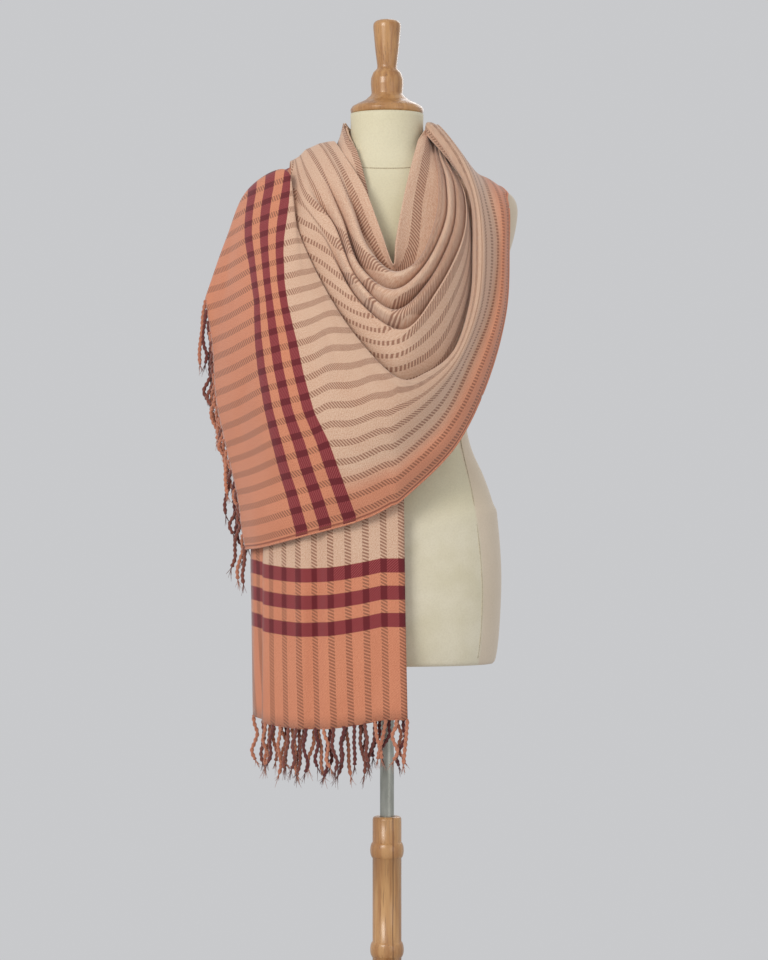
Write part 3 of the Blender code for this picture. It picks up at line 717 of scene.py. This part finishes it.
behind = net(lines(BACK_ACROSS, BACK_UP, BACK_OUT), *BACK_STEPS)
wave = np.cos(np.linspace(0, BACK_PLEATS * 2 * math.pi, len(behind)))[:, None]
fade = np.sin(np.linspace(0.2, 1, behind.shape[1]) * math.pi)[None]
behind[..., 2] -= BACK_PLEAT_DEPTH * (1 + wave) * fade
behind = clear_form(behind, np.linspace(*BACK_GAP, behind.shape[1]))
behind_maps = np.stack([BACK_START_LENGTH + run(behind, 1),
                        BACK_START_WIDTH - BACK_GATHER * run(behind, 0)], axis=-1)
back_stretch = cloth("back_stretch", behind, behind_maps, "stole_back")


# Cowl
# The upper half of the width across the chest, falling in nested hanging folds from the
# neckline. Each fold's rim rolls over and tucks in above the next one.
COWL_ACROSS = {
    "selvedge": (-76, -73, -53, -30, -10, 8, 12, 22, 35, 48, 57),
    "roll": (-83, -80, -59, -37, -15, 9, 29, 37, 48, 56, 61),
    "first": (-96, -93, -70, -49, -26, 9, 46, 68, 71, 67, 66),
    "second": (-112, -112, -87, -62, -37, 8, 50, 80, 82, 73, 70),
    "third": (-123, -122, -107, -72, -43, 8, 55, 90, 94, 79, 74),
    "fourth": (-131, -129, -117, -86, -40, 21, 67, 103, 107, 88, 80),
    "margin": (-137, -134, -130, -105, -56, 8, 70, 110, 117, 100, 88),
}
COWL_UP = {
    "selvedge": (1477, 1484, 1451, 1410, 1355, 1304, 1339, 1395, 1452, 1499, 1507),
    "roll": (1476, 1483, 1446, 1402, 1346, 1297, 1335, 1397, 1453, 1490, 1500),
    "first": (1473, 1480, 1439, 1389, 1328, 1293, 1314, 1374, 1429, 1464, 1490),
    "second": (1466, 1471, 1425, 1370, 1301, 1268, 1300, 1364, 1420, 1461, 1486),
    "third": (1456, 1461, 1409, 1358, 1287, 1240, 1278, 1350, 1413, 1459, 1482),
    "fourth": (1450, 1456, 1395, 1339, 1255, 1213, 1266, 1340, 1402, 1452, 1476),
    "margin": (1446, 1450, 1356, 1281, 1203, 1135, 1155, 1246, 1346, 1443, 1469),
}
COWL_OUT = {
    "selvedge": (-22, 12, 64, 99, 124, 135, 118, 98, 72, 27, -6),
    "roll": (-22, 13, 65, 99, 121, 127, 108, 90, 66, 30, -3),
    "first": (-22, 14, 71, 104, 131, 150, 134, 103, 74, 40, 6),
    "second": (-22, 14, 75, 110, 137, 161, 142, 108, 77, 40, 8),
    "third": (-21, 14, 78, 114, 144, 171, 151, 113, 80, 39, 10),
    "fourth": (-19, 18, 82, 118, 151, 182, 159, 118, 82, 36, 12),
    "margin": (-14, 26, 78, 111, 147, 166, 148, 106, 84, 34, 12),
}
# How deep each fold is at each station: 0 is smooth cloth and 1 a full tuck
COWL_DEPTH = {
    "first": (0, 0, 0, 0.3, 0.9, 1, 1, 1, 0.8, 0.4, 0),
    "second": (0, 0, 0.1, 0.5, 1, 1, 1, 0.8, 0.6, 0.3, 0),
    "third": (0, 0, 0.1, 0.5, 1, 1, 0.9, 0.6, 0.5, 0.3, 0),
    "fourth": (0, 0, 0, 0.1, 0.6, 0.8, 0.6, 0.3, 0.3, 0.2, 0),
}
COWL_GAP = (9, 9, 11, 8, 4, 4, 4, 4, 9, 10, 6)
COWL_STEPS = (7, 12)
COWL_START_LENGTH = 240
FOLD_TUCK = 13
FOLD_SHADE = 26
FOLD_BELLY = 11
# Cloth width from the stole's lower edge at each rim: the folds hide what lies between
COWL_WIDTH = {
    "selvedge": (590,) * 11,
    "roll": (583, 583, 583, 583, 582, 580, 580, 580, 580, 580, 580),
    "first": (550, 550, 550, 548, 540, 528, 528, 528, 528, 528, 528),
    "second": (522, 522, 522, 515, 495, 470, 468, 468, 468, 468, 468),
    "third": (490, 490, 486, 470, 435, 390, 388, 388, 388, 388, 388),
    "fourth": (472, 470, 455, 420, 360, 300, 295, 295, 295, 295, 295),
    "margin": (495, 490, 410, 335, 265, 200, 198, 198, 198, 198, 198),
}


def cowl_sheet(across, along):
    """Below each rim the cloth bellies out, then tucks in under the next rim. Where a fold
    has no depth, the same lines lie evenly on smooth cloth. Returns the points and how far
    across the cloth's width each is."""
    rims = dict(zip(COWL_ACROSS, lines(COWL_ACROSS, COWL_UP, COWL_OUT)))
    names = list(rims)
    widths = {name: np.array(COWL_WIDTH[name], dtype=float) for name in names}
    rows = [rims["selvedge"], rims["roll"]]
    spans = [widths["selvedge"], widths["roll"]]
    for upper, lower in zip(names[1:-2], names[2:-1]):
        depth = np.array(COWL_DEPTH[lower])[:, None]
        fall = rims[lower] - rims[upper]
        size = np.maximum(np.linalg.norm(fall[:, :2], axis=1, keepdims=True), 1.0)
        belly = rims[upper] + fall * 0.35
        belly[:, 2:] += FOLD_BELLY * depth
        tucked = rims[upper] + fall * (0.7 + 0.3 * depth) + fall / size * FOLD_TUCK * depth
        tucked[:, 2:] = rims[upper][:, 2:] + fall[:, 2:] * 0.7
        tucked[:, 2:] += (fall[:, 2:] * 0.3 - FOLD_SHADE) * depth
        drop = size[:, 0] * 0.9
        if upper != "roll":
            rows.append(belly)
            spans.append(widths[upper] - 0.4 * drop)
        rows += [tucked, rims[lower]]
        spans += [widths[upper] - drop, widths[lower]]
    flank = rims["margin"] - rims["fourth"]
    depth = np.array(COWL_DEPTH["fourth"])[:, None]
    for share, swell in ((0.18, 5), (0.5, 7), (0.8, 2)):
        row = rims["fourth"] + flank * share
        row[:, 2:] += swell * depth
        rows.append(row)
        spans.append(widths["fourth"] + (widths["margin"] - widths["fourth"]) * share)
    rows.append(rims["margin"])
    spans.append(widths["margin"])
    gap = through(np.array(COWL_GAP)[:, None], along)[:, 0]
    span = net(np.array(spans)[..., None], across, along)[..., 0]
    return clear_form(net(np.array(rows), across, along), gap), span


cowl, cowl_width = cowl_sheet(*COWL_STEPS)
cowl_maps = np.stack([COWL_START_LENGTH + run(cowl, 1), cowl_width], axis=-1)
cowl_piece = cloth("cowl_folds", cowl, cowl_maps, "stole_cowl")


# Front panel
# The lower half of the width across the front, with the banded second end at the viewer's
# left. It hangs from both shoulders, rolls under along the waist and is left unhemmed.
PANEL_ACROSS = {
    "selvedge": (-198, -172, -124, -57, -36, -16, 4, 24, 92, 136, 163, 168, 168, 158, 136, 132),
    "border": (-204, -177, -131, -69, -46, -23, 0, 21, 83, 125, 154, 161, 158, 143, 123, 119),
    "valley": (-209, -179, -137, -80, -55, -31, -5, 20, 74, 110, 141, 150, 139, 126, 108, 104),
    "outer fold": (-222, -189, -151, -93, -67, -42, -13, 15, 64, 101, 128, 134, 127, 108, 76, 88),
    "face": (-239, -206, -165, -112, -83, -55, -21, 14, 58, 97, 122, 128, 122, 102, 68, 77),
    "upper face": (-245, -217, -178, -132, -101, -69, -28, 14, 54, 94, 117, 122, 118, 95, 61, 69),
    "step": (-255, -226, -196, -138, -122, -84, -39, 14, 52, 91, 113, 117, 114, 88, 56, 63),
    "tuck": (-251, -222, -172, -137, -131, -94, -47, 7, 47, 92, 117, 122, 118, 89, 54, 61),
}
PANEL_UP = {
    "selvedge": (916, 920, 933, 951, 958, 966, 977, 989, 1057, 1145, 1244, 1337, 1391, 1421.5,
                 1421, 1422),
    "border": (948, 955, 970, 984, 989, 997, 1007, 1017, 1078, 1156, 1245, 1336, 1396, 1431,
               1433, 1436),
    "valley": (987, 997, 1015, 1023, 1026, 1030, 1038, 1050, 1102, 1171, 1249, 1336, 1401,
               1439, 1447, 1451),
    "outer fold": (1043, 1052, 1066, 1071, 1071, 1075, 1080, 1087, 1126, 1178, 1251, 1331,
                   1401, 1455, 1499, 1471),
    "face": (1121, 1131, 1148, 1144, 1136, 1127, 1120, 1116, 1138, 1182, 1253, 1329, 1400,
             1458, 1505, 1486),
    "upper face": (1197, 1227, 1258, 1263, 1231, 1196, 1160, 1135, 1147, 1185, 1254, 1327,
                   1399, 1459, 1507, 1495),
    "step": (1265, 1342, 1409, 1428, 1353, 1270, 1201, 1148, 1155, 1188, 1256, 1324, 1398,
             1457, 1505, 1501),
    "tuck": (1258, 1332, 1400, 1424, 1345, 1262, 1192, 1138, 1147, 1183, 1252, 1322, 1396,
             1449, 1493, 1498),
}
PANEL_OUT = {
    "selvedge": (12, 60, 106, 130, 133, 136, 138, 138, 131, 110, 80, 58, 46, 8, -54, -66),
    "border": (9, 62, 113, 141, 146, 150, 154, 157, 150, 130, 98, 74, 56, 14, -40, -56),
    "valley": (6, 62, 117, 149, 156, 162, 166, 168, 158, 130, 94, 75, 63, 18, -24, -46),
    "outer fold": (2, 60, 119, 153, 163, 172, 182, 190, 184, 155, 122, 107, 85, 57, 26, -34),
    "face": (-2, 56, 116, 150, 163, 176, 189, 200, 191, 158, 127, 111, 90, 63, 34, -31),
    "upper face": (-8, 44, 98, 126, 148, 169, 188, 202, 190, 156, 125, 109, 88, 63, 38, -29),
    "step": (-16, -2, 20, 63, 96, 138, 173, 197, 184, 150, 118, 101, 83, 59, 36, -27),
    "tuck": (-34, -22, -7, 47, 88, 130, 165, 188, 175, 142, 110, 94, 76, 52, 28, -25),
}
PANEL_STEPS = (9, 12)
PANEL_MIDDLE = 7
PANEL_GAP = 4.7
SELVEDGE_RADIUS = 1.5
# Outer side of the first band and inner side of the last, as across and up
FIRST_BAND = ((-124, 941), (-136, 989), (-146, 1022), (-158, 1070), (-167, 1110), (-176, 1162),
              (-180, 1204), (-181, 1253), (-189, 1308), (-196, 1344), (-197, 1374),
              (-193, 1404))
LAST_BAND = ((-42, 963), (-64, 1024), (-79, 1065), (-98, 1103), (-113, 1157), (-122, 1200),
             (-132, 1239), (-139, 1273), (-142, 1333), (-135, 1387), (-133, 1413))
BAND_COLUMNS = 60
# The stripes slope outside the first band and ripple at two places: across, half width and
# height. Both die away towards the lower edge.
SLOPE = 0.17
SLOPE_REACH = 80
RIPPLES = ((-78, 17, -5), (-38, 20, 3))
EDGE_FADE = 150
# Creases: across and up of each end, half width, and depth
PANEL_CREASES = (
    (-180, 1168, -203, 1114, 9, 4.0), (-203, 1114, -199, 1046, 9, 3.5),
    (-98, 1240, -90, 1110, 12, 3.5), (-74, 1270, -62, 1100, 12, -3.5),
    (-48, 1200, -36, 1090, 12, 2.5), (-120, 1330, -150, 1190, 12, 3.0),
    (60, 1100, 110, 1165, 7, 4.0), (30, 1040, 96, 1098, 8, 4.0),
    (84, 1120, 122, 1190, 6, -2.5), (-150, 1000, -60, 1010, 12, 3.0),
    (-199, 1410, -217, 1333, 5, 4.0), (-215, 1340, -231, 1240, 5, 4.0),
    (-140, 1100, -110, 1030, 14, 2.5),
)


def held(values, column):
    """Lengths across the cloth, kept from one column on, as the folds gather them."""
    values = values.copy()
    values[:, column:] = values[:, column:column + 1]
    return values


def band_lengths(sheet):
    """Cloth length from the fringed edge, row by row: nought there, 127 mm at the first
    band's outer side, 220 mm at the last band's inner side, then as measured."""
    along = run(sheet, 1)
    found = []
    for row, far in zip(sheet, along):
        marks = []
        for band in (FIRST_BAND, LAST_BAND):
            across, up = np.array(band, dtype=float).T
            past = row[:, 0] - np.interp(row[:, 1], up, across)
            marks.append(np.interp(0.0, past[:BAND_COLUMNS], far[:BAND_COLUMNS]))
        first, last = marks
        inside = np.interp(far, [0, first, last], [0, BANDS[0][0], BANDS[-1][1]])
        found.append(np.where(far < last, inside, BANDS[-1][1] + far - last))
    return np.array(found)


panel = clear_form(net(lines(PANEL_ACROSS, PANEL_UP, PANEL_OUT), *PANEL_STEPS), PANEL_GAP)
panel_width = run(panel, 0)
first_side = np.interp(panel[..., 1], *np.array(FIRST_BAND, dtype=float).T[::-1])
inland = np.clip(panel_width / EDGE_FADE, 0, 1)
panel_width += SLOPE * np.clip(first_side - panel[..., 0], 0, SLOPE_REACH) * inland
for place_across, half, height in RIPPLES:
    panel_width += height * np.exp(-((panel[..., 0] - place_across) / half) ** 2) * inland
panel_maps = np.stack([band_lengths(panel), held(panel_width, PANEL_MIDDLE * PANEL_STEPS[1])],
                      axis=-1)
panel = creased(panel, PANEL_CREASES)
front_panel = cloth("front_panel", panel, panel_maps, "stole_front_panel")

selvedge = tube("front_selvedge", place(panel[0]), SELVEDGE_RADIUS * MM)
selvedge.data.materials.append(thread(
    "rolled selvedge", 900.0, 0.7, dye(226, 156, 122), dye(186, 108, 78), 0.0005,
    sheen_weight=0.3))
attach(selvedge, "figure")


# Shoulder end
# The upper corner of the second end, thrown over the shoulder so that it hangs down the
# form's back, with the last of its fringe below.
CORNER_ACROSS = {
    "outer": (-251, -250, -249, -247, -244),
    "next": (-220, -221, -232, -237, -232),
    "over tip": (-182, -192, -206, -212, -205),
    "flat": (-154, -161, -170, -177, -172),
    "ridge": (-128, -128, -137, -143, -140),
    "inner": (-106, -102, -108, -112, -110),
    "selvedge": (-84, -77, -81, -86, -88),
}
CORNER_UP = {
    "outer": (1256, 1254, 1252, 1249, 1246),
    "next": (1338, 1343, 1310, 1270, 1238),
    "over tip": (1396, 1404, 1352, 1288, 1234),
    "flat": (1423, 1435, 1376, 1300, 1230),
    "ridge": (1431, 1454, 1402, 1310, 1228),
    "inner": (1437, 1470, 1418, 1316, 1230),
    "selvedge": (1445, 1477, 1424, 1320, 1236),
}
CORNER_OUT = {
    "outer": (-33, -37, -42, -46, -50),
    "next": (-12, -26, -46, -58, -63),
    "over tip": (4, -19, -54, -72, -77),
    "flat": (18, -15, -68, -84, -86),
    "ridge": (30, -22, -78, -90, -92),
    "inner": (38, -22.9, -86, -96, -97),
    "selvedge": (40, -22.9, -92, -102, -101),
}
# Cloth length from the fringe, row by row
CORNER_LENGTHS = (4, 70, 127, 170, 222, 245, 262)
CORNER_STEPS = (8, 16)
CORNER_GAP = 3
CORNER_START_WIDTH = 330
CORNER_GATHER = 0.8

thrown = net(lines(CORNER_ACROSS, CORNER_UP, CORNER_OUT), *CORNER_STEPS)
thrown = clear_form(thrown, CORNER_GAP)
thrown_run = run(thrown, 1)
thrown_length = (1 - thrown_run / thrown_run[:, -1:]) * through(
    np.array(CORNER_LENGTHS, dtype=float)[:, None], CORNER_STEPS[0])
thrown_maps = np.stack([thrown_length, CORNER_START_WIDTH + CORNER_GATHER * run(thrown, 0)],
                       axis=-1)
shoulder_end = cloth("shoulder_end", thrown, thrown_maps, "stole_shoulder_end")


# Fringe
# The warp ends left long at both ends of the stole and twisted in pairs into two-ply
# tassels, terracotta and dark maroon-brown by turns, each frayed at its tip.
TASSEL_RADIUS = 2.7
TASSEL_SIDES = 8
TASSEL_STEPS = 54
PLY_PITCH = 15
STRANDS = 8
STRAND_LENGTH = 15
STRAND_RADIUS = 0.6
EDGE_TASSELS = 24
CORNER_TASSELS = 15
# Each layer of the folded end: first and last column, tassels, and where the dark ones
# gather, from its first root to its last
LAYERS = (("outer", 0, END_OUTER_LAYER, 16, (1, -1)), ("middle", 40, 57, 11, (-1, 1)),
          ("inner", 60, 81, 11, (1, -1)))
# In metres: how long the tassels are, how far each may sway and curl, and the lanes that
# those beside an upright edge hang in
THROWN_LENGTH = 0.062
HEM_LENGTH = 0.058
SWAY = (0.011, 0.0025, 0)
CURL = 0.0055
LANE = 0.006
LANES = 4
draw = np.random.default_rng(7)


def tassel(path, tone):
    """A two-lobed profile that turns as it is carried down a path: two plies twisted
    together. Below its end, thin strands spread apart. Returns a grid for each."""
    path = through(path, 12)
    far = np.concatenate([[0], np.cumsum(np.linalg.norm(np.diff(path, axis=0), axis=1))])
    spots = np.linspace(0, far[-1], TASSEL_STEPS)
    path = np.stack([np.interp(spots, far, path[:, axis]) for axis in range(3)], axis=1)
    ahead = np.gradient(path, axis=0)
    ahead /= np.linalg.norm(ahead, axis=1, keepdims=True)
    side = np.cross(ahead, [0.0, 1.0, 0.0])
    side /= np.linalg.norm(side, axis=1, keepdims=True)
    rise = np.cross(ahead, side)
    around = np.linspace(0, 2 * math.pi, TASSEL_SIDES + 1)[:-1]
    turning = 2 * math.pi * spots[:, None] / (PLY_PITCH * MM) + tone * 9
    lobes = TASSEL_RADIUS * MM * (0.9 + 0.22 * np.cos(2 * (around - turning)))
    lobes[-3:] *= np.array([1.1, 0.95, 0.6])[:, None]
    grid = path[:, None] + (side[:, None] * (np.cos(around) * lobes)[..., None]
                            + rise[:, None] * (np.sin(around) * lobes)[..., None])
    grids = [grid]
    tip, down = path[-2], ahead[-1]
    for _ in range(STRANDS):
        lean = draw.uniform(-0.38, 0.38, 3)
        size = STRAND_LENGTH * MM * draw.uniform(0.55, 1.15)
        shares = np.linspace(0, 1, 5)[:, None]
        line = tip + down * size * shares + lean * size * shares ** 1.6
        corners = np.radians([90, 210, 330])
        thin = STRAND_RADIUS * MM * (1.1 - 0.8 * shares)
        grids.append(line[:, None] + side[-1] * (np.cos(corners) * thin)[..., None]
                     + rise[-1] * (np.sin(corners) * thin)[..., None])
    return grids


def fringe_yarn():
    """Dark or light by tassel, with fine fibres."""
    material, shader, shade = finish("twisted fringe yarn", roughness=0.95, sheen_weight=0.4,
                                     sheen_roughness=0.5)
    chart = shade.node("UVMap", {"uv_map": "weave"}, {})
    spot = shade.node("TexCoord", {}, {}, 3)
    fibre = spot.noise(1400.0, 2.0, 0.7)
    light = fibre.rise(0.3, 0.7).blend(dye(222, 152, 118), dye(176, 100, 74))
    dark = fibre.rise(0.3, 0.7).blend(dye(122, 54, 50), dye(64, 22, 26))
    chart.axis(1).blend(light, dark).feed(shader, "Base Color")
    fibre.bump(shader, 0.0004)
    return material


def fringe(name, paths, tones, node):
    """All the tassels of one edge as one mesh."""
    points, faces, maps = [], [], []
    count = 0
    for path, tone in zip(paths, tones):
        for grid in tassel(path, tone):
            rows, columns = grid.shape[:2]
            number = count + np.arange(rows * columns).reshape(rows, columns)
            wide = np.concatenate([number, number[:, :1]], axis=1)
            faces += np.stack([wide[:-1, :-1], wide[1:, :-1], wide[1:, 1:], wide[:-1, 1:]],
                              axis=-1).reshape(-1, 4).tolist()
            faces += [number[0].tolist(), number[-1, ::-1].tolist()]
            points.append(grid.reshape(-1, 3))
            maps.append(np.tile([0.0, tone], (rows * columns, 1)))
            count += rows * columns
    piece = built(name, np.concatenate(points), faces, np.concatenate(maps))
    piece.data.materials.append(FRINGE_YARN)
    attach(piece, "figure")
    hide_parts(node)
    return piece


def hung(edge, away, count, length, upright=False):
    """Paths for evenly spaced roots along a cloth edge: out of the cloth, then down. Beside
    an upright edge they follow it downwards, in a few lanes."""
    far = np.concatenate([[0], np.cumsum(np.linalg.norm(np.diff(edge, axis=0), axis=1))])
    roots = np.linspace(0.0015, far[-1] - 0.0015, count)
    roots += draw.uniform(-0.0008, 0.0008, count)
    away = away / np.linalg.norm(away, axis=1, keepdims=True)

    def at(values, where, along=far):
        return np.array([np.interp(where, along, values[:, axis]) for axis in range(3)])

    guide_far = np.concatenate([[-0.1], far])
    guide = np.concatenate([[edge[0] - [0, 0, 0.1]], edge])
    paths = []
    for index, root in enumerate(roots):
        outward = at(away, root)
        start = at(edge, root)
        size = length * draw.uniform(0.8, 1.12)
        sway = draw.uniform(-1, 1, 3) * SWAY
        curl = draw.uniform(-1, 1) * CURL
        lane = LANE + LANE * (index % LANES) + draw.uniform(0, LANE / 2)
        path = [start - outward * 0.0015, start + outward * 0.002]
        for share, bend in ((0.14, 0.2), (0.35, 0.9), (0.55, 0.2), (0.78, -0.8), (1.0, 0.1)):
            if upright:
                spot = at(guide, root - size * share, guide_far)
                spot = spot + outward * lane * min(1, 0.3 + share * 1.2)
            else:
                spot = start - [0, 0, size * share] + outward * 0.003
            path.append(spot + sway * share + [curl * bend, 0, 0])
        paths.append(np.array(path))
    return paths


def tones(count, dark):
    """Light or dark for each tassel, dark with the given chance at each place."""
    return np.where(draw.uniform(0, 1, count) < dark, draw.uniform(0.75, 1.0, count),
                    draw.uniform(0.0, 0.25, count))


FRINGE_YARN = fringe_yarn()
step_row = PANEL_STEPS[0] * (len(PANEL_ACROSS) - 2) + 1
edge = place(panel[:step_row, 0])
share_up = np.linspace(0, 1, EDGE_TASSELS)
edge_fringe = fringe("thrown_edge_fringe", hung(edge, edge - place(panel[:step_row, 3]),
                                                EDGE_TASSELS, THROWN_LENGTH, upright=True),
                     tones(EDGE_TASSELS, np.where(share_up > 0.62, 0.25, 0.72)),
                     "fringe_thrown_edge")
edge = place(thrown[:, -1])
corner_fringe = fringe("thrown_corner_fringe", hung(edge, edge - place(thrown[:, -4]),
                                                    CORNER_TASSELS, THROWN_LENGTH),
                       tones(CORNER_TASSELS, 0.45), "fringe_thrown_corner")
for layer, first, last, count, gather in LAYERS:
    edge = place(hanging[0, first:last])
    fringe("hem_fringe_" + layer, hung(
        edge, edge - place(hanging[3, first:last]), count, HEM_LENGTH),
        tones(count, 0.5 + 0.35 * np.linspace(*gather, count)), "fringe_hanging_" + layer)
